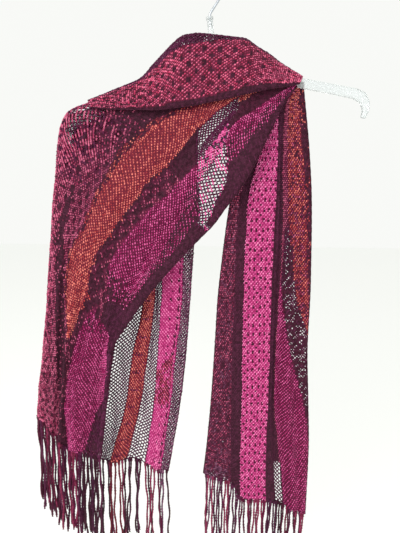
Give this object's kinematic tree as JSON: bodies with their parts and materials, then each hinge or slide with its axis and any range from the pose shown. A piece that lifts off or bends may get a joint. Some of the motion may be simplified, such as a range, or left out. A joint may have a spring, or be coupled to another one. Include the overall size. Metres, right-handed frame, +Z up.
{
  "type": "striped openwork shawl on a clothes hanger",
  "caption": "Openwork striped shawl with fringed ends, draped lengthwise over a plain clothes hanger: one end swags across the front, the other hangs straight.",
  "frame": {"origin": "the inside top of the hanger's hook, where a rail bears", "axes": "+Z up, +X to the viewer's right along the hanger, +Y away from the viewer through the hook, along the rail"},
  "size_m": [0.4921, 0.0432, 0.9888],
  "materials": {
    "hanger_plastic": "clear to milky, glossy",
    "hook_wire": "bright wire",
    "collar_knit": "openwork knit, rose flowers on plum",
    "front_knit": "openwork knit, stripes seen from their reverse",
    "back_knit": "openwork knit, stripes of net and crochet work",
    "right_knit": "openwork knit, stripes of net and crochet work",
    "front_fringe": "yarn",
    "back_fringe": "yarn",
    "right_fringe": "yarn"
  },
  "bodies": {
    "root": {"hanger_body": "hanger_plastic", "hanger_hook": "hook_wire", "shawl_collar": "collar_knit", "shawl_front_swag": "front_knit", "shawl_back_left": "back_knit", "shawl_right_end": "right_knit", "fringe_front_left": "front_fringe", "fringe_back_left": "back_fringe", "fringe_right": "right_fringe"}
  },
  "joints": []
}
